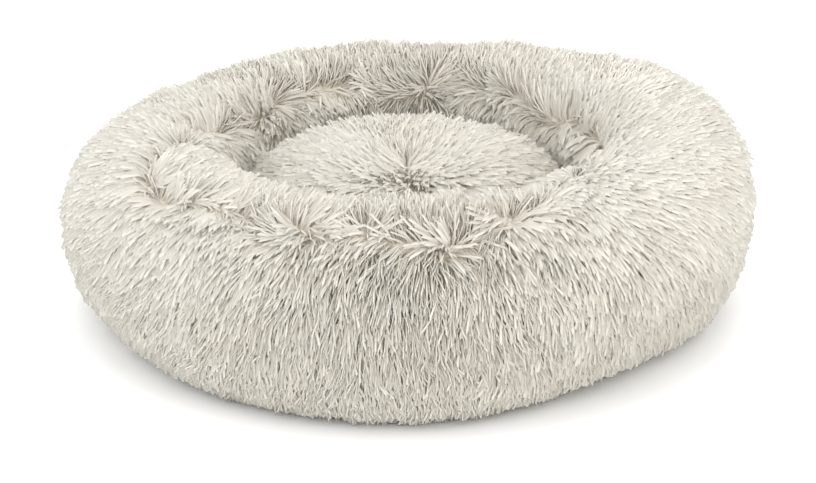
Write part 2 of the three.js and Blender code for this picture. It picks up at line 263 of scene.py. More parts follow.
# the way the pile lies on the bolster: away from the parting, fanned round the sides, parted round whorls
def combOnRing(place, normal, azimuth, section):
    sideways = Vector((-place.y, place.x, 0)).normalized()
    inwards = normal.cross(sideways)  # over the section, towards the inner side
    wave = noise.noise_vector(place * 16) * 0.38 + noise.noise_vector(place * 42) * 0.26
    parting = partingAt(azimuth) + 13 * noise.noise(place * 15) + 6 * noise.noise(place * 41)
    across = smooth(section - parting, -13, 13) * 2 - 1
    away = abs(section - parting)
    around = brush["fan"] * math.sin(math.radians(azimuth - brush["fanCentre"])) * smooth(away, 0, 50)
    if across > 0:
        around *= 0.3
    comb = sideways * (around + wave.x) + inwards * (across + wave.y * 0.8)
    for spot, reach, strength in whorlSpots:
        step = place + noise.noise_vector(place * 34) * brush["warp"] - spot
        far = step.length / reach
        if far < 2.4:
            outwards = (step - normal * step.dot(normal)).normalized()
            curl = normal.cross(outwards) * brush["curl"] * (1 if spot.x > 0 else -1)
            comb += (outwards + curl) * strength * math.exp(-far * far)
    comb -= normal * comb.dot(normal)
    return comb.normalized()


print("stage: brushing set")


# the bolster's cover: a lumpy, stuffed skin in three panels
panels = {
    # panel name, first and last azimuth
    "front_right": (-82.5, 37.5),
    "rear": (37.5, 157.5),
    "front_left": (157.5, 277.5),
}
zipSlit = {
    "first": 45,
    "last": 150,
    "low": 0.0475,
    "high": 0.0765,
    "radius": 0.340,
}


def spinOutline(bm, outline, edges, steps):
    bmesh.ops.spin(
        bm, geom=outline + edges, cent=(0, 0, 0), axis=(0, 0, 1), angle=math.tau,
        steps=steps, use_merge=True, use_duplicate=False,
    )


def ringBase(inset, roundSteps, sectionSteps):
    bm = bmesh.new()
    outline = [bm.verts.new(sectionPlace(i * 360 / sectionSteps, inset)) for i in range(sectionSteps)]
    edges = [bm.edges.new((outline[i - 1], outline[i])) for i in range(sectionSteps)]
    spinOutline(bm, outline, edges, roundSteps)
    bmesh.ops.recalc_face_normals(bm, faces=bm.faces)
    return bm


def azimuthOf(place):
    return math.degrees(math.atan2(place.y, place.x))


# the section angle of a place on or near the bolster, by its direction from the section's middle
def sectionOf(place):
    radius = math.hypot(place.x, place.y) - bolster["middleRadius"]
    rise = place.z - bolster["widestHeight"]
    return (math.degrees(math.atan2(rise / 0.1, radius / bolster["halfWidth"])) + 90) % 360 - 90


# fuller and slacker places round the ring
def moveSwells(bm):
    bm.normal_update()
    moves = {}
    for vert in bm.verts:
        azimuth = azimuthOf(vert.co)
        section = sectionOf(vert.co)
        amount = 0
        for swellAzimuth, swellSection, reachAzimuth, reachSection, much in stuffing["swells"]:
            a = turned(azimuth - swellAzimuth) / reachAzimuth
            b = turned(section - swellSection) / reachSection
            amount += much * math.exp(-a * a - b * b)
        moves[vert] = vert.normal * amount * smooth(vert.co.z, 0.004, 0.016)
    for vert, move in moves.items():
        vert.co += move


# the foot stands further in where the filling is slack
def tuckFoot(bm):
    for vert in bm.verts:
        azimuth = azimuthOf(vert.co)
        radius = math.hypot(vert.co.x, vert.co.y)
        if radius < bolster["middleRadius"]:
            continue
        share = 1 - smooth(vert.co.z, 0.0, 0.115)
        share *= smooth(radius, bolster["middleRadius"], bolster["middleRadius"] + 0.035)
        move = sum(
            much * math.exp(-(turned(azimuth - at) / reach) ** 2)
            for at, reach, much in stuffing["tucks"]
        )
        vert.co.x *= 1 - share * move / radius
        vert.co.y *= 1 - share * move / radius


# stuffing pushes the cloth out in lumps, more on the crest than at the foot
def makeLumpy(bm, amount, size):
    bm.normal_update()
    moves = {}
    for vert in bm.verts:
        share = smooth(vert.co.z, 0.02, 0.15)
        lump = noise.noise(vert.co / size) + 0.45 * noise.noise(vert.co / size * 2.3)
        moves[vert] = vert.normal * (amount * share * max(-0.2, 0.45 + lump))
    for vert, move in moves.items():
        vert.co += move


def newObject(name, bm, materials=()):
    data = bpy.data.meshes.new(name)
    bm.to_mesh(data)
    bm.free()
    for polygon in data.polygons:
        polygon.use_smooth = True
    for material in materials:
        data.materials.append(material)
    item = bpy.data.objects.new(name, data)
    bpy.context.scene.collection.objects.link(item)
    return item


# the brushing is kept on the vertices, for the locks to read
def brushVertices(bm, combAt, pileAt, messAt, widthAt):
    comb = bm.verts.layers.float_vector.new("comb")
    pile = bm.verts.layers.float_vector.new("pile")
    mess = bm.verts.layers.float.new("mess")
    width = bm.verts.layers.float.new("width")
    bm.normal_update()
    for vert in bm.verts:
        vert[comb] = combAt(vert)
        vert[pile] = pileAt(vert)
        vert[mess] = messAt(vert)
        vert[width] = widthAt(vert)


def ringComb(vert):
    return combOnRing(vert.co, vert.normal, azimuthOf(vert.co), sectionOf(vert.co))


def isOverZip(azimuth, section):
    return abs(section) < 60 and zipSlit["first"] - 3 < azimuth < zipSlit["last"] + 3


# how tangled the pile is: most at partings and whorls
def ringMess(vert):
    away = abs(sectionOf(vert.co) - partingAt(azimuthOf(vert.co)))
    near = min((vert.co - spot).length / reach for spot, reach, strength in whorlSpots)
    tangle = max(1 - smooth(away, 3, 24), 0.9 * (1 - smooth(near, 0.2, 1.1)))
    front = math.exp(-(turned(azimuthOf(vert.co) + 88) / 46) ** 2)
    calm = mix(0.07, 0.155, max(front, 0.8 * smooth(sectionOf(vert.co), 50, 100)))
    return mix(calm, 0.26, tangle) * (1 + 0.5 * noise.noise(vert.co * 28))


# the pile hangs in thick strands down the front wall, and is finer elsewhere
def ringWidth(vert):
    front = math.exp(-(turned(azimuthOf(vert.co) + 84) / 62) ** 2)
    return mix(0.62, 0.96, front * (1 - smooth(sectionOf(vert.co), 34, 66)))


# x is the length, y how far it stands off the cloth, z how thickly it grows
def ringPile(vert):
    azimuth = azimuthOf(vert.co)
    section = sectionOf(vert.co)
    away = abs(section - partingAt(azimuth))
    length = mix(0.62, 1.0, smooth(vert.co.z, 0.01, 0.12)) * mix(1.12, 1.0, smooth(away, 5, 60))
    length *= 1 + 0.18 * noise.noise(vert.co * 30)
    near = min((vert.co - spot).length / reach for spot, reach, strength in whorlSpots)
    stand = mix(0.20, 0.0, smooth(away, 0, 16)) + mix(0.75, 0, smooth(near, 0, 0.55))
    stand += 0.09 * noise.noise(vert.co * 24)
    stand -= mix(0.18, 0, smooth(vert.co.z, 0.0, 0.06))
    grow = mix(1.25, 1.0, smooth(vert.co.z, 0.03, 0.13))
    grow += mix(1.3, 0, smooth(near, 0, 0.6))
    grow += mix(0.3, 0, smooth(away, 0, 14))
    if vert.co.z < 0.006 or 262 < section or section < -80:
        grow = 0.0
    if section > 180 and vert.co.z < 0.09:
        grow = min(grow, 0.4)
    if isOverZip(azimuth, section) and 0.07 < vert.co.z < 0.108:
        length *= 0.42  # clipped short, so the slider runs free
        stand -= 0.1
    return Vector((length, stand, grow))


# locks: tapering, slightly wavy tufts that every fur piece repeats
lock = {
    "kinds": 12,
    "length": 0.028,
    "shares": (0.0, 0.38, 0.88, 1.0),  # where its rings are, from root to tip
    "widths": (0.0026, 0.0038, 0.0035, 0.0),
    "flat": 0.4,  # thickness for its width
    "sides": 3,
    "rootRise": (30, 42),  # degrees off the cloth, from kind to kind
    "tipRise": (-38, -14),
    "sway": 0.16,
    "wave": 0.24,
    "softness": 0.6,  # how far its normals lean towards the cloth's
}


def chance(seed, low, high):
    return mix(low, high, (noise.cell(Vector((seed * 1.37 + 0.5, seed * 0.71 + 9.5, 3.3))) + 1) / 2)


def isOf(edge, ring):
    return all(vert in ring for vert in edge.verts)


# a lock stands on its root at the origin, with Z away from the cloth and X the way it is brushed
def makeLock(kind, group):
    first = chance(kind * 5 + 1, *lock["rootRise"])
    last = chance(kind * 5 + 2, *lock["tipRise"])
    sway = chance(kind * 5 + 3, -lock["sway"], lock["sway"])
    wave = chance(kind * 5 + 4, 0, math.tau)
    bm = bmesh.new()
    along = bm.verts.layers.float.new("along")
    place = Vector((0, 0, 0))
    shares = lock["shares"]
    low = None
    for i, share in enumerate(shares):
        rise = math.radians(mix(first, last, share ** 0.75))
        aside = sway + lock["wave"] * math.sin(wave + share * 5)
        heading = Vector((math.cos(rise), aside, math.sin(rise))).normalized()
        turn = heading.to_track_quat("Z", "Y").to_matrix().to_4x4()
        flatten = Matrix.Diagonal((lock["flat"], 1, 1, 1))
        ring = bmesh.ops.create_circle(
            bm, cap_ends=False, segments=lock["sides"], radius=max(lock["widths"][i] / 2, 0.00004),
            matrix=Matrix.Translation(place) @ turn @ flatten,
        )["verts"]
        for vert in ring:
            vert[along] = share
        if low:
            edges = {edge for vert in low + ring for edge in vert.link_edges}
            rims = [edge for edge in edges if isOf(edge, ring) or isOf(edge, low)]
            bmesh.ops.bridge_loops(bm, edges=rims)
        low = ring
        if share < 1:
            place = place + heading * lock["length"] * (shares[i + 1] - share)
    tip = sum((v.co for v in low), Vector()) / len(low)
    bmesh.ops.pointmerge(bm, verts=low, merge_co=tip)
    bmesh.ops.recalc_face_normals(bm, faces=bm.faces)
    data = bpy.data.meshes.new(f"lock_{kind}")
    bm.to_mesh(data)
    bm.free()
    for polygon in data.polygons:
        polygon.use_smooth = True
    item = bpy.data.objects.new(f"lock_{kind}", data)
    group.objects.link(item)


lockKinds = bpy.data.collections.new("lock_kinds")
for kind in range(lock["kinds"]):
    makeLock(kind, lockKinds)


# short ways to add and join nodes; i3=value feeds input 3, and To_Min=value the input "To Min"
class Nodes:
    def __init__(self, tree):
        self.tree = tree

    def open(self, way, **kinds):
        for name, kind in kinds.items():
            self.tree.interface.new_socket(name, in_out=way, socket_type="NodeSocket" + kind)

    def add(self, kind, settings=None, **inputs):
        node = self.tree.nodes.new(kind)
        for key, value in (settings or {}).items():
            setattr(node, key, value)
        for key, value in inputs.items():
            socket = int(key[1:]) if key[1:].isdigit() else key.replace("_", " ")
            self.feed(node.inputs[socket], value)
        return node

    def feed(self, socket, value):
        if isinstance(value, bpy.types.NodeSocket):
            self.tree.links.new(value, socket)
        else:
            socket.default_value = value

    def named(self, name, kind):
        node = self.add("GeometryNodeInputNamedAttribute", {"data_type": kind}, Name=name)
        return node.outputs["Attribute"]

    def chance(self, low, high, seed):
        node = self.add("FunctionNodeRandomValue", {"data_type": "FLOAT"})
        node.inputs[2].default_value = low
        node.inputs[3].default_value = high
        node.inputs["Seed"].default_value = seed
        return node.outputs[1]

    def math(self, operation, *values):
        node = self.add("ShaderNodeMath", {"operation": operation})
        for socket, value in zip(node.inputs, values):
            self.feed(socket, value)
        return node.outputs[0]

    def noiseAt(self, place, scale, **more):
        return self.add("ShaderNodeTexNoise", Vector=place, Scale=scale, **more).outputs[0]

    def store(self, geometry, name, value, kind, domain):
        settings = {"data_type": kind, "domain": domain}
        node = self.add("GeometryNodeStoreNamedAttribute", settings, Geometry=geometry, Name=name)
        self.feed(node.inputs["Value"], value)
        return node.outputs[0]

    def objectPlace(self):
        return self.add("ShaderNodeTexCoord").outputs["Object"]

    # the first two stops are the ends
    def ramp(self, source, *stops):
        node = self.add("ShaderNodeValToRGB", i0=source)
        elements = node.color_ramp.elements
        for i, (place, colour) in enumerate(stops):
            stop = elements[i] if i < 2 else elements.new(place)
            stop.position = place
            stop.color = (*colour, 1)
        return node.outputs[0]

    def between(self, value, low, high):
        return self.add("ShaderNodeMapRange", Value=value, To_Min=low, To_Max=high).outputs[0]

    def bump(self, height, distance, **more):
        return self.add("ShaderNodeBump", Height=height, Distance=distance, **more).outputs[0]


# how locks differ from their neighbours
strands = {
    "clumpScale": 95.0,
    "clumpTurn": 7.0,
    "reliefScale": 62.0,
    "reliefTilt": -4.2,
    "tilt": 0.1,
    "roll": 0.22,
    "lengths": (0.78, 1.18),
    "widths": (0.75, 1.3),
    "patchScale": 13.0,
    "patchTone": 0.9,
    "tones": (-0.2, 0.3),
}


def furNodes():
    n = Nodes(bpy.data.node_groups.new("grow_fur", "GeometryNodeTree"))
    n.open("INPUT", Geometry="Geometry", Sector="Int", Density="Float", Size="Float", Seed="Int")
    n.open("OUTPUT", Geometry="Geometry")
    given = n.add("NodeGroupInput").outputs
    sector = n.named("sector", "INT")
    inSector = n.add("FunctionNodeCompare", {"data_type": "INT", "operation": "EQUAL"})
    n.feed(inSector.inputs[2], sector)
    n.feed(inSector.inputs[3], given["Sector"])
    pile = n.add("ShaderNodeSeparateXYZ", Vector=n.named("pile", "FLOAT_VECTOR")).outputs
    spread = n.add(
        "GeometryNodeDistributePointsOnFaces", {"distribute_method": "RANDOM"},
        Mesh=given["Geometry"], Selection=inSector.outputs[0], Seed=given["Seed"],
        Density=n.math("MULTIPLY", given["Density"], pile["Z"]),
    )
    points = spread.outputs["Points"]
    facing = n.add("FunctionNodeAxesToRotation", {"primary_axis": "Z", "secondary_axis": "X"})
    n.feed(facing.inputs[0], spread.outputs["Normal"])
    n.feed(facing.inputs[1], n.named("comb", "FLOAT_VECTOR"))
    where = n.add("GeometryNodeInputPosition").outputs[0]
    clump = n.math("SUBTRACT", n.noiseAt(where, strands["clumpScale"], Detail=1.0), 0.5)
    relief = n.math("SUBTRACT", n.noiseAt(where, strands["reliefScale"], Detail=1.0), 0.5)
    mess = n.named("mess", "FLOAT")
    gather = n.math("MULTIPLY", n.math("MULTIPLY", clump, mess), strands["clumpTurn"])
    lift = n.math("MULTIPLY", n.math("MULTIPLY", relief, mess), strands["reliefTilt"])
    lift = n.math("ADD", lift, n.chance(-strands["tilt"], strands["tilt"], 11))
    tilt = n.math("SUBTRACT", lift, pile["Y"])
    yaw = n.math("MULTIPLY_ADD", n.chance(-1, 1, 12), mess, gather)
    roll = n.chance(-strands["roll"], strands["roll"], 13)
    euler = n.add("ShaderNodeCombineXYZ", X=roll, Y=tilt, Z=yaw)
    turn = n.add("FunctionNodeEulerToRotation")
    n.feed(turn.inputs[0], euler.outputs[0])
    rotate = n.add("FunctionNodeRotateRotation", {"rotation_space": "LOCAL"})
    n.feed(rotate.inputs[0], facing.outputs[0])
    n.feed(rotate.inputs[1], turn.outputs[0])
    size = n.math("MULTIPLY", given["Size"], n.chance(*strands["lengths"], 14))
    length = n.math("MULTIPLY", size, pile["X"])
    width = n.math("MULTIPLY", n.named("width", "FLOAT"), n.chance(*strands["widths"], 15))
    scale = n.add("ShaderNodeCombineXYZ", X=length, Y=width, Z=length)
    kinds = n.add("GeometryNodeCollectionInfo", {"transform_space": "ORIGINAL"})
    kinds.inputs["Collection"].default_value = lockKinds
    kinds.inputs["Separate Children"].default_value = True
    kinds.inputs["Reset Children"].default_value = True
    grown = n.add(
        "GeometryNodeInstanceOnPoints", Points=points, Instance=kinds.outputs[0],
        Rotation=rotate.outputs[0], Scale=scale.outputs[0],
    )
    grown.inputs["Pick Instance"].default_value = True
    pick = n.add("FunctionNodeRandomValue", {"data_type": "INT"})
    pick.inputs[4].default_value = 0
    pick.inputs[5].default_value = lock["kinds"] - 1
    pick.inputs["Seed"].default_value = 16
    n.feed(grown.inputs["Instance Index"], pick.outputs[2])
    patch = n.noiseAt(n.add("GeometryNodeInputPosition").outputs[0], strands["patchScale"], Detail=3.0)
    shade = n.math("MULTIPLY_ADD", patch, strands["patchTone"], n.chance(*strands["tones"], 17))
    shade = n.math("MINIMUM", n.math("MAXIMUM", shade, 0.01), 0.99)
    toned = n.store(grown.outputs[0], "tone", shade, "FLOAT", "INSTANCE")
    faced = n.store(toned, "outwards", spread.outputs["Normal"], "FLOAT_VECTOR", "INSTANCE")
    real = n.add("GeometryNodeRealizeInstances", Geometry=faced).outputs[0]
    pair = n.add("ShaderNodeCombineXYZ", X=n.named("along", "FLOAT"), Y=n.named("tone", "FLOAT"))
    mapped = n.store(real, "OFBake", pair.outputs[0], "FLOAT2", "CORNER")
    # soft pile catches light as the cloth under it does, so the locks' normals lean towards the cloth's
    lean = n.add("ShaderNodeMix", {"data_type": "VECTOR"}, Factor=lock["softness"])
    n.feed(lean.inputs[4], n.add("GeometryNodeInputNormal").outputs[0])
    n.feed(lean.inputs[5], n.named("outwards", "FLOAT_VECTOR"))
    aimed = n.add("ShaderNodeVectorMath", {"operation": "NORMALIZE"}, Vector=lean.outputs[1]).outputs[0]
    soft = n.add(
        "GeometryNodeSetMeshNormal", {"mode": "FREE", "domain": "POINT"}, Mesh=mapped, Custom_Normal=aimed,
    )
    n.add("NodeGroupOutput", i0=soft.outputs[0])
    return n.tree


growFur = furNodes()
print("stage: locks and fur nodes")


# how low and how high the tips of the pile may go
pileLimits = {
    "floor": 0.0008,
    "overBase": 0.0028,
    "baseReach": 0.27,
    "uneven": 0.0006,
    "top": 0.205,
    "topShare": 0.5,
}


# tips bend along the floor or the base cloth, and the tallest ones sink
def bendTips(data):
    top = pileLimits["top"]
    for vert in data.vertices:
        isOverBase = math.hypot(vert.co.x, vert.co.y) < pileLimits["baseReach"]
        lowest = pileLimits["overBase"] if isOverBase else pileLimits["floor"]
        if vert.co.z < lowest:
            vert.co.z = lowest + pileLimits["uneven"] * noise.noise(vert.co * 300)
        elif vert.co.z > top:
            vert.co.z = top + (vert.co.z - top) * pileLimits["topShare"]


def growPiece(name, skin, sector, density, size, seed, material):
    piece = bpy.data.objects.new(name, skin.data)
    bpy.context.scene.collection.objects.link(piece)
    modifier = piece.modifiers.new("fur", "NODES")
    modifier.node_group = growFur
    sockets = {s.name: s.identifier for s in growFur.interface.items_tree if s.in_out == "INPUT"}
    for key, value in (("Sector", sector), ("Density", density), ("Size", size), ("Seed", seed)):
        modifier[sockets[key]] = value
    graph = bpy.context.evaluated_depsgraph_get()
    data = bpy.data.meshes.new_from_object(piece.evaluated_get(graph), depsgraph=graph)
    piece.modifiers.clear()
    piece.data = data
    data.name = name
    data.materials.clear()
    data.materials.append(material)
    bendTips(data)
    print("piece", name, len(data.polygons), "faces")
    return piece


# materials
def newMaterial(name, **values):
    material = bpy.data.materials.new(name)
    material.use_nodes = True
    n = Nodes(material.node_tree)
    shader = n.tree.nodes["Principled BSDF"].inputs
    for key, value in values.items():
        shader[key.replace("_", " ")].default_value = value
    return material, n, shader


def furMaterial():
    material, n, shader = newMaterial(
        "faux_fur", Roughness=0.75, Specular_IOR_Level=0.2, Sheen_Weight=0.15, Sheen_Roughness=0.5,
    )
    source = n.add("ShaderNodeUVMap", {"uv_map": "OFBake"}).outputs[0]
    split = n.add("ShaderNodeSeparateXYZ", Vector=source).outputs
    # the colour darkens towards the root: painted shade between the locks, where they cover each other's
    # roots
    shadedRootToTip = n.ramp(  # root, tip, and two places between them
        split[0], (0.0, (0.69, 0.635, 0.545)), (1.0, (0.765, 0.74, 0.685)),
        (0.3, (0.745, 0.71, 0.64)), (0.65, (0.76, 0.73, 0.67)),
    )
    # dull olive to warm cream, lock by lock
    tone = n.ramp(split[1], (0.1, (0.90, 0.88, 0.84)), (0.9, (1.0, 0.995, 0.985)))
    blend = n.add(
        "ShaderNodeMix", {"data_type": "RGBA", "blend_type": "MULTIPLY"}, i0=1, i6=shadedRootToTip, i7=tone,
    )
    n.feed(shader["Base Color"], blend.outputs[2])
    return material


def skinMaterial():
    material, n, shader = newMaterial("fur_backing", Roughness=0.9)
    grain = n.noiseAt(n.objectPlace(), 420)
    n.feed(shader["Base Color"], n.ramp(grain, (0, (0.60, 0.55, 0.47)), (1, (0.70, 0.655, 0.57))))
    return material


def cloth(name, colour, second, threads, depth, roughness, isCurved=False):
    material, n, shader = newMaterial(name, Sheen_Weight=0.15)
    place = n.objectPlace()
    if isCurved:  # follows the ring: distance along it, and height
        split = n.add("ShaderNodeSeparateXYZ", Vector=place).outputs
        angle = n.math("ARCTAN2", split[1], split[0])
        along = n.math("MULTIPLY", angle, zipSlit["radius"])
        place = n.add("ShaderNodeCombineXYZ", X=along, Y=split[2]).outputs[0]
    weave = n.add("ShaderNodeGroup", {"node_tree": weaveGroup}, Threads=threads, Place=place).outputs
    n.feed(shader["Base Color"], n.ramp(weave["Shade"], (0, second), (1, colour)))
    n.feed(shader["Roughness"], n.between(weave["Height"], roughness + 0.08, roughness - 0.08))
    n.feed(shader["Normal"], n.bump(weave["Height"], depth, Strength=0.6))
    return material


# over-and-under threads, with uneven yarn
def makeWeaveGroup():
    n = Nodes(bpy.data.node_groups.new("plain_weave", "ShaderNodeTree"))
    n.open("INPUT", Place="Vector", Threads="Float")
    n.open("OUTPUT", Height="Float", Shade="Float")
    given = n.add("NodeGroupInput").outputs
    scaled = n.add("ShaderNodeVectorMath", {"operation": "SCALE"}, i0=given["Place"], Scale=given["Threads"])
    waves = []
    for direction in ("X", "Y"):
        wave = n.add(
            "ShaderNodeTexWave", {"bands_direction": direction},
            Vector=scaled.outputs[0], Scale=0.5, Distortion=0.6, Detail_Scale=0.4,
        )
        waves.append(wave.outputs["Fac"])
    checker = n.add("ShaderNodeTexChecker", Vector=scaled.outputs[0], Scale=1.0)
    over = n.add("ShaderNodeMix", Factor=checker.outputs["Fac"], i2=waves[0], i3=waves[1]).outputs[0]
    yarn = n.math("MULTIPLY", n.noiseAt(given["Place"], 45, Detail=4), 0.8)
    n.add("NodeGroupOutput", Height=over, Shade=n.math("MULTIPLY_ADD", over, 0.5, yarn))
    return n.tree


def fibreMaterial():
    material, n, shader = newMaterial("polyester_fibre", Roughness=0.95, Sheen_Weight=0.3)
    tangle = n.noiseAt(n.objectPlace(), 160, Detail=8, Distortion=2.5)
    n.feed(shader["Base Color"], n.ramp(tangle, (0, (0.70, 0.71, 0.72)), (1, (0.92, 0.92, 0.92))))
    n.feed(shader["Normal"], n.bump(tangle, 0.002))
    return material


def metalMaterial():
    material, n, shader = newMaterial("zip_nickel", Metallic=1)
    wear = n.noiseAt(n.objectPlace(), 700, Detail=6)
    n.feed(shader["Base Color"], n.ramp(wear, (0, (0.42, 0.41, 0.39)), (1, (0.66, 0.65, 0.62))))
    n.feed(shader["Roughness"], n.between(wear, 0.22, 0.42))
    n.feed(shader["Normal"], n.bump(wear, 0.00005))
    return material


def nylonMaterial(name, colour, second, roughness):
    material, n, shader = newMaterial(name, Roughness=roughness)
    haze = n.noiseAt(n.objectPlace(), 260, Detail=3)
    n.feed(shader["Base Color"], n.ramp(haze, (0, second), (1, colour)))
    return material


weaveGroup = makeWeaveGroup()
fur = furMaterial()
backing = skinMaterial()
fibre = fibreMaterial()
linerCloth = cloth("liner_cotton", (0.80, 0.79, 0.76), (0.62, 0.61, 0.58), 900, 0.0002, 0.8)
baseCloth = cloth("base_oxford", (0.34, 0.325, 0.30), (0.22, 0.21, 0.195), 620, 0.0004, 0.72)
tapeCloth = cloth("zip_tape_twill", (0.66, 0.63, 0.57), (0.48, 0.455, 0.41), 1100, 0.0002, 0.75, True)
labelCloth = cloth("label_satin", (0.86, 0.86, 0.85), (0.74, 0.74, 0.73), 2400, 0.0001, 0.45)
coilNylon = nylonMaterial("zip_coil_nylon", (0.60, 0.575, 0.52), (0.50, 0.475, 0.425), 0.38)
dotSilicone = nylonMaterial("grip_dot_silicone", (0.30, 0.29, 0.27), (0.24, 0.23, 0.215), 0.55)
thread = nylonMaterial("sewing_thread", (0.62, 0.60, 0.55), (0.46, 0.44, 0.40), 0.6)
nickel = metalMaterial()
print("stage: materials")

ringFur = {"density": 116000, "size": 1.0, "seed": 40, "sectorsPerPanel": 3}
plumping = {"pressure": 4, "frames": 20, "cap": 0.004}


def meshOf(item):
    graph = bpy.context.evaluated_depsgraph_get()
    return bpy.data.meshes.new_from_object(item.evaluated_get(graph), depsgraph=graph)


# the filling swells the sewn cloth, and no point goes further than the cap
def plump(bm, name, voxel, lowest):
    item = newObject(name, bm)
    even = item.modifiers.new("even", "REMESH")
    even.mode = "VOXEL"
    even.voxel_size = voxel
    data = meshOf(item)
    item.modifiers.clear()
    item.data = data
    pattern = [vert.co.copy() for vert in data.vertices]
    cloth = item.modifiers.new("cloth", "CLOTH")
    cloth.settings.use_pressure = True
    cloth.settings.uniform_pressure_force = plumping["pressure"]
    cloth.settings.effector_weights.gravity = 0
    cloth.settings.quality = 4
    cloth.collision_settings.use_collision = False
    cloth.point_cache.frame_end = plumping["frames"]
    for step in range(1, plumping["frames"] + 1):
        bpy.context.scene.frame_set(step)
    swollen = meshOf(item)
    item.modifiers.clear()
    bpy.context.scene.frame_set(1)
    for vert, start, end in zip(data.vertices, pattern, swollen.vertices):
        move = end.co - start
        if move.length > plumping["cap"]:
            move *= plumping["cap"] / move.length
        vert.co = start + move
    bpy.data.meshes.remove(swollen)
    for vert in data.vertices:
        if vert.co.z < lowest:
            vert.co.z = lowest
    result = bmesh.new()
    result.from_mesh(data)
    bpy.data.objects.remove(item)
    print("plumped", name, len(result.verts), "points")
    return result


# the cloth is pulled flat where the zip is sewn in
def flattenAtZip(bm):
    for vert in bm.verts:
        azimuth = azimuthOf(vert.co)
        share = smooth(azimuth, zipSlit["first"] - 7, zipSlit["first"] - 1)
        share *= 1 - smooth(azimuth, zipSlit["last"] + 1, zipSlit["last"] + 7)
        share *= smooth(vert.co.z, 0.026, 0.044) * (1 - smooth(vert.co.z, 0.082, 0.106))
        radius = math.hypot(vert.co.x, vert.co.y)
        if share > 0 and radius > bolster["middleRadius"]:
            wanted = mix(radius, zipSlit["radius"] - 0.0014, share)
            vert.co.x *= wanted / radius
            vert.co.y *= wanted / radius


def insetCopy(bm, name, depth, material, lowest):
    copy = bm.copy()
    copy.normal_update()
    for vert in copy.verts:
        vert.co -= vert.normal * depth
        vert.co.z = max(vert.co.z, lowest)
    return newObject(name, copy, [material])


def cutPlane(bm, place, normal):
    bmesh.ops.bisect_plane(
        bm, geom=bm.verts[:] + bm.edges[:] + bm.faces[:], dist=0.00001,
        plane_co=place, plane_no=normal,
    )


def cutAtAzimuth(bm, azimuth):
    turn = math.radians(azimuth)
    cutPlane(bm, (0, 0, 0), (-math.sin(turn), math.cos(turn), 0))


def isInSlit(place):
    isOutside = math.hypot(place.x, place.y) > 0.3
    isLevel = zipSlit["low"] < place.z < zipSlit["high"]
    return isOutside and isLevel and zipSlit["first"] < azimuthOf(place) < zipSlit["last"]


def cutSlit(bm):
    for height in (zipSlit["low"], zipSlit["high"]):
        cutPlane(bm, (0, 0, height), (0, 0, 1))
    for end in (zipSlit["first"], zipSlit["last"]):
        cutAtAzimuth(bm, end)
    gone = [face for face in bm.faces if isInSlit(face.calc_center_median())]
    bmesh.ops.delete(bm, geom=gone, context="FACES")


def keepPanel(bm, first, last):
    for end in (first, last):
        cutAtAzimuth(bm, end)
    wide = last - first
    gone = [f for f in bm.faces if (azimuthOf(f.calc_center_median()) - first) % 360 > wide]
    bmesh.ops.delete(bm, geom=gone, context="FACES")


def makeBolster():
    bm = ringBase(bolster["skinInset"] + 0.002, bolster["roundSteps"], bolster["sectionSteps"])
    makeLumpy(bm, bolster["lump"], bolster["lumpSize"])
    moveSwells(bm)
    tuckFoot(bm)
    bm = plump(bm, "bolster_pattern", 0.006, bolster["skinLow"])
    flattenAtZip(bm)
    liner = insetCopy(bm, "bolster_liner_bag", 0.0026, linerCloth, bolster["skinLow"] + 0.0008)
    filling = insetCopy(bm, "bolster_fibre", 0.0052, fibre, bolster["skinLow"] + 0.002)
    stuffed = (
        (liner, "bolster_liner", "liner_cloth"),
        (filling, "bolster_filling", "fibre_filling"),
    )
    for item, node, slotName in stuffed:
        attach(item, "bolster")
        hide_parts(node)
    cutSlit(bm)
    number = 0
    for panel, (first, last) in panels.items():
        part = bm.copy()
        keepPanel(part, first, last)
        brushVertices(part, ringComb, ringPile, ringMess, ringWidth)
        sector = part.faces.layers.int.new("sector")
        count = ringFur["sectorsPerPanel"]
        for face in part.faces:
            share = ((azimuthOf(face.calc_center_median()) - first) % 360) / (last - first)
            face[sector] = min(count - 1, int(share * count))
        skin = newObject(f"cover_{panel}", part)
        for step in range(count):
            piece = growPiece(
                f"fur_{panel}_{step + 1}", skin, step, ringFur["density"], ringFur["size"],
                ringFur["seed"] + number, fur,
            )
            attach(piece, "bolster")
            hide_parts("bolster_fur_" + panel)
            number += 1
        skin.data.materials.append(backing)
        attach(skin, "bolster")
        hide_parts("bolster_fur_" + panel)
    bm.free()


makeBolster()
print("stage: bolster")

# centre cushion
cushion = {
    "radius": 0.168,
    "low": 0.0023,
    "height": 0.166,
    "widestHeight": 0.095,
    "power": 2.6,
    "footInset": 0.038,
    "skinInset": 0.012,
    "roundSteps": 96,
    "sideSteps": 30,
    "whorl": (0.0, -0.062),
    "lump": 0.003,
    "lumpSize": 0.08,
}
cushionFur = {"density": 92000, "size": 0.95, "seed": 71, "width": 0.72}


def pillowPlace(share, inset):
    power = cushion["power"]
    footShare = (cushion["radius"] - cushion["footInset"]) / cushion["radius"]
    first = -math.acos(footShare ** (power / 2))
    angle = mix(first, math.pi / 2, share)
    drop = abs(math.sin(first)) ** (2 / power)
    rise = signedPower(math.sin(angle), 2 / power)
    above = cushion["height"] - cushion["widestHeight"] - inset
    height = rise / drop * (cushion["widestHeight"] - 0.002) if rise < 0 else rise * above
    radius = (cushion["radius"] - inset) * max(0.0, math.cos(angle)) ** (2 / power)
    return Vector((radius, 0, cushion["low"] + cushion["widestHeight"] + height))


def cushionComb(vert):
    away = Vector((vert.co.x - cushion["whorl"][0], vert.co.y - cushion["whorl"][1], 0))
    wave = noise.noise_vector(vert.co * 24) * 0.4 + noise.noise_vector(vert.co * 60) * 0.3
    heading = away.normalized() + wave
    heading -= vert.normal * heading.dot(vert.normal)
    return heading.normalized()


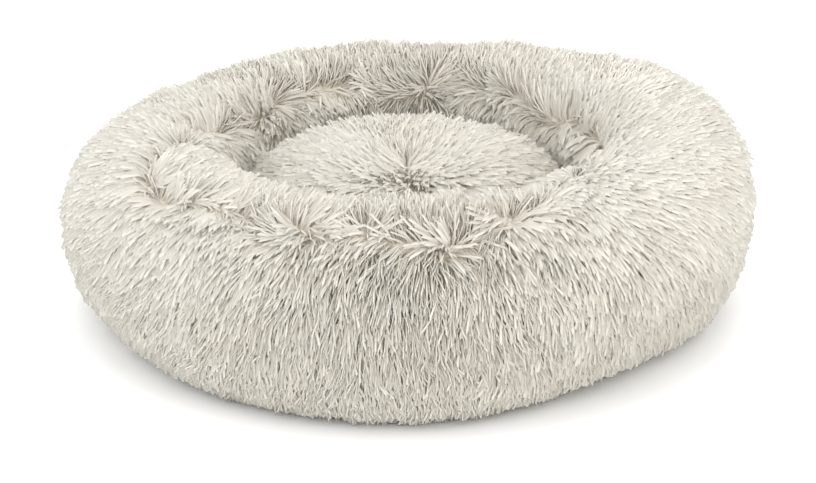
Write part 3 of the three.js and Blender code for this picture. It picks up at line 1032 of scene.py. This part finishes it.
def cushionMess(vert):
    away = math.hypot(vert.co.x - cushion["whorl"][0], vert.co.y - cushion["whorl"][1])
    return mix(0.24, 0.14, smooth(away, 0.01, 0.08))


def cushionPile(vert):
    away = math.hypot(0.55 * (vert.co.x - cushion["whorl"][0]), vert.co.y - cushion["whorl"][1])
    stand = mix(0.75, 0.12, smooth(away, 0, 0.055)) + 0.16 * noise.noise(vert.co * 26)
    length = 1 + 0.15 * noise.noise(vert.co * 31)
    grow = mix(0.25, 1, smooth(vert.co.z, 0.07, 0.11)) * smooth(vert.co.z, 0.015, 0.05)
    return Vector((length, stand, grow))


def makeCushion():
    bm = bmesh.new()
    steps = cushion["sideSteps"]
    outline = [bm.verts.new(pillowPlace(i / steps, cushion["skinInset"])) for i in range(steps + 1)]
    outline.insert(0, bm.verts.new((0, 0, outline[0].co.z)))
    edges = [bm.edges.new((a, b)) for a, b in zip(outline, outline[1:])]
    spinOutline(bm, outline, edges, cushion["roundSteps"])
    bmesh.ops.remove_doubles(bm, verts=bm.verts, dist=0.0001)
    bmesh.ops.recalc_face_normals(bm, faces=bm.faces)
    makeLumpy(bm, cushion["lump"], cushion["lumpSize"])
    bm = plump(bm, "cushion_pattern", 0.005, cushion["low"] + 0.0022)
    filling = insetCopy(bm, "cushion_fibre", 0.003, fibre, cushion["low"] + 0.004)
    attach(filling, "centre_cushion")
    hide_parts("cushion_filling")
    brushVertices(bm, cushionComb, cushionPile, cushionMess, lambda vert: cushionFur["width"])
    sector = bm.faces.layers.int.new("sector")
    for face in bm.faces:
        face[sector] = 0 if face.calc_center_median().y < 0 else 1
    skin = newObject("cushion_cover", bm)
    pieces = [skin]
    for part, side in enumerate(("front", "rear")):
        piece = growPiece(
            f"cushion_fur_{side}", skin, part, cushionFur["density"], cushionFur["size"],
            cushionFur["seed"] + part, fur,
        )
        pieces.append(piece)
    skin.data.materials.append(backing)
    for item in pieces:
        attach(item, "centre_cushion")
        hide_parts("cushion_fur_top")


makeCushion()
print("stage: cushion")

# base panel, underside of the cushion, label
base = {
    "radius": 0.2965,
    "low": 0.0009,
    "thickness": 0.0011,
    "dotSpacing": 0.021,
    "dotRadius": 0.0028,
    "stitchPitch": 0.0042,
}


def clothDisc(name, radius, low, thickness, material, ripple, isTucked=False):
    bm = bmesh.new()
    rings = 26
    outline = [bm.verts.new((radius * i / rings, 0, low)) for i in range(rings + 1)]
    edges = [bm.edges.new((a, b)) for a, b in zip(outline, outline[1:])]
    spinOutline(bm, outline, edges, 120)
    bmesh.ops.remove_doubles(bm, verts=bm.verts, dist=0.0001)
    for vert in bm.verts:  # sewing draws the edge into small puckers
        turn = math.atan2(vert.co.y, vert.co.x)
        edge = smooth(math.hypot(vert.co.x, vert.co.y), radius * 0.86, radius)
        vert.co.z += ripple * edge * (0.5 + 0.5 * math.sin(turn * 46 + 3 * math.sin(turn * 7)))
    bmesh.ops.recalc_face_normals(bm, faces=bm.faces)
    bmesh.ops.solidify(bm, geom=bm.faces[:], thickness=thickness)
    bmesh.ops.recalc_face_normals(bm, faces=bm.faces)
    lowest = min(vert.co.z for vert in bm.verts)
    bmesh.ops.translate(bm, verts=bm.verts, vec=(0, 0, low - lowest))
    if isTucked:
        tuckFoot(bm)
    return newObject(name, bm, [material])


stitch = {"thickness": 0.0006, "share": 0.68}


# short lengths of thread along a circle
def stitchCircle(bm, radius, height, first, last, pitch):
    count = int(math.radians(last - first) * radius / pitch)
    for i in range(count):
        turn = math.radians(first) + (i + 0.5) * pitch / radius
        place = Matrix.Rotation(turn, 4, "Z") @ Matrix.Translation((radius, 0, height))
        size = (stitch["thickness"], pitch * stitch["share"], stitch["thickness"])
        bmesh.ops.create_cube(bm, size=1, matrix=place @ Matrix.Diagonal((*size, 1)))


def makeBase():
    panel = clothDisc("base_cloth", base["radius"], base["low"], base["thickness"], baseCloth, 0, True)
    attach(panel, "bolster")
    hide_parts("base_panel")
    bm = bmesh.new()
    limit = base["radius"] - 0.018
    steps = int(limit / base["dotSpacing"]) + 1
    high = base["low"] + 0.0002
    for row in range(-steps, steps + 1):
        for column in range(-steps, steps + 1):
            x = (column + 0.5 * (row % 2)) * base["dotSpacing"]
            y = row * base["dotSpacing"] * 0.866
            if math.hypot(x, y) < limit:
                bmesh.ops.create_cone(
                    bm, cap_ends=True, segments=10, depth=high,
                    radius1=base["dotRadius"] * 0.7, radius2=base["dotRadius"],
                    matrix=Matrix.Translation((x, y, high / 2)),
                )
    tuckFoot(bm)
    dots = newObject("base_grip_dots", bm, [dotSilicone])
    for polygon in dots.data.polygons:
        polygon.use_smooth = False
    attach(dots, "bolster")
    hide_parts("base_panel")
    bm = bmesh.new()
    for inset in (0.006, 0.010):
        stitchCircle(bm, base["radius"] - inset, base["low"], 0, 360, base["stitchPitch"])
    tuckFoot(bm)
    seam = newObject("base_stitching", bm, [thread])
    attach(seam, "bolster")
    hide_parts("base_panel")


def makeUnderside():
    radius = 0.1185
    panel = clothDisc("cushion_base_cloth", radius, 0.0023, 0.001, baseCloth, 0.0008)
    bm = bmesh.new()
    stitchCircle(bm, radius - 0.005, 0.0024, 0, 360, base["stitchPitch"])
    seam = newObject("cushion_base_stitching", bm, [thread])
    for item in (panel, seam):
        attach(item, "centre_cushion")
        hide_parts("cushion_underside")


label = {"azimuth": 112.5, "inner": 0.297, "outer": 0.335, "width": 0.026, "low": 0.0004}


def makeLabel():
    bm = bmesh.new()
    long = label["outer"] - label["inner"]
    bmesh.ops.create_grid(bm, x_segments=16, y_segments=10, size=0.5)
    bmesh.ops.scale(bm, verts=bm.verts, vec=(long, label["width"], 1))
    for vert in bm.verts:  # a cloth tag that lifts a little towards its free end
        share = vert.co.x / long + 0.5
        vert.co.z = 0.0012 * share * share + 0.0002 * math.sin(vert.co.y * 240)
    bmesh.ops.solidify(bm, geom=bm.faces[:], thickness=0.0005)
    bmesh.ops.recalc_face_normals(bm, faces=bm.faces)
    lowest = min(vert.co.z for vert in bm.verts)
    place = Matrix.Rotation(math.radians(label["azimuth"]), 4, "Z")
    place = place @ Matrix.Translation(((label["inner"] + label["outer"]) / 2, 0, label["low"] - lowest))
    bmesh.ops.transform(bm, matrix=place, verts=bm.verts)
    tag = newObject("blank_label", bm, [labelCloth])
    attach(tag, "bolster")
    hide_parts("care_label")


makeBase()
makeUnderside()
makeLabel()
print("stage: base, underside and label")


# zip
zipParts = {
    "tapes": {"upper": (0.0648, 0.0757), "lower": (0.0483, 0.0592)},
    "tapeHalf": 0.0004,
    "tapeEnd": 0.3,
    "seams": (0.0032, 0.0052),
    "stitchPitch": 0.0036,
    "chain": (49.48, 145.26),
    "coils": {"upper": (0.0627, 0.0645), "lower": (0.0595, 0.0613)},
    "toothPitch": 0.0021,
    "toothSize": (0.0023, 0.0013),
    "toothBevel": 0.0004,
    "cordHalf": 0.0005,
}


# a strip bent along the ring, from a cross-section of four corners
def bentStrip(bm, inner, outer, low, high, first, last, steps):
    turn = Matrix.Rotation(math.radians(first), 4, "Z")
    corners = [(inner, 0, low), (outer, 0, low), (outer, 0, high), (inner, 0, high)]
    face = bm.faces.new([bm.verts.new(turn @ Vector(corner)) for corner in corners])
    bmesh.ops.spin(
        bm, geom=[face] + face.edges[:] + face.verts[:], cent=(0, 0, 0), axis=(0, 0, 1),
        angle=math.radians(last - first), steps=steps, use_merge=False, use_duplicate=False,
    )
    bmesh.ops.recalc_face_normals(bm, faces=bm.faces)


def makeTape(side, low, high):
    half = zipParts["tapeHalf"]
    radius = zipSlit["radius"]
    first = zipSlit["first"] + zipParts["tapeEnd"]
    last = zipSlit["last"] - zipParts["tapeEnd"]
    bm = bmesh.new()
    bentStrip(bm, radius - half, radius + half, low, high, first, last, 150)
    tape = newObject(f"tape_{side}", bm, [tapeCloth])
    bm = bmesh.new()
    outerEdge = high if side == "upper" else low
    inwards = -1 if side == "upper" else 1
    for step in zipParts["seams"]:
        height = outerEdge + inwards * step
        first = zipSlit["first"] + 1
        last = zipSlit["last"] - 1
        stitchCircle(bm, radius + half, height, first, last, zipParts["stitchPitch"])
    seam = newObject(f"tape_stitching_{side}", bm, [thread])
    for item in (tape, seam):
        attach(item, "bolster")
        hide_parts("zip_tape_" + side)


def makeCoil(side, low, high):
    bm = bmesh.new()
    first, last = zipParts["chain"]
    pitch = zipParts["toothPitch"] / zipSlit["radius"]
    count = int(math.radians(last - first) / pitch)
    shift = 0.25 if side == "upper" else 0.75
    for i in range(count):
        turn = math.radians(first) + (i + shift) * pitch
        place = Matrix.Rotation(turn, 4, "Z") @ Matrix.Translation((zipSlit["radius"], 0, (low + high) / 2))
        size = (*zipParts["toothSize"], high - low)
        made = bmesh.ops.create_cube(bm, size=1, matrix=place @ Matrix.Diagonal((*size, 1)))
        edges = {edge for vert in made["verts"] for edge in vert.link_edges}
        bmesh.ops.bevel(
            bm, geom=list(edges), offset=zipParts["toothBevel"], segments=1, profile=0.5,
            affect="EDGES", material=-1,
        )
    coil = newObject(f"coil_{side}", bm, [coilNylon])
    core = bmesh.new()  # the cord that the coil is sewn round
    middle = (low + high) / 2
    half = zipParts["cordHalf"]
    radius = zipSlit["radius"]
    bentStrip(core, radius - half, radius + half, middle - half, middle + half, first, last, 140)
    cord = newObject(f"coil_core_{side}", core, [thread])
    for item in (coil, cord):
        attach(item, "bolster")
        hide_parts("zip_coil_" + side)


for side, (low, high) in zipParts["tapes"].items():
    makeTape(side, low, high)
for side, (low, high) in zipParts["coils"].items():
    makeCoil(side, low, high)


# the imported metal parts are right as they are, and only get their finish
def finishMetal(name):
    item = frame["nodes"][name]
    if not item.material_slots:
        item.data.materials.append(nickel)
    for slotItem in item.material_slots:
        slotItem.link = "OBJECT"
        slotItem.material = nickel


for name in ("zip_slider", "zip_pull", "zip_top_stop_upper", "zip_top_stop_lower", "zip_bottom_stop"):
    finishMetal(name)
print("stage: zip")

for item in list(lockKinds.objects):
    bpy.data.objects.remove(item)
bpy.data.collections.remove(lockKinds)
bpy.data.node_groups.remove(growFur)
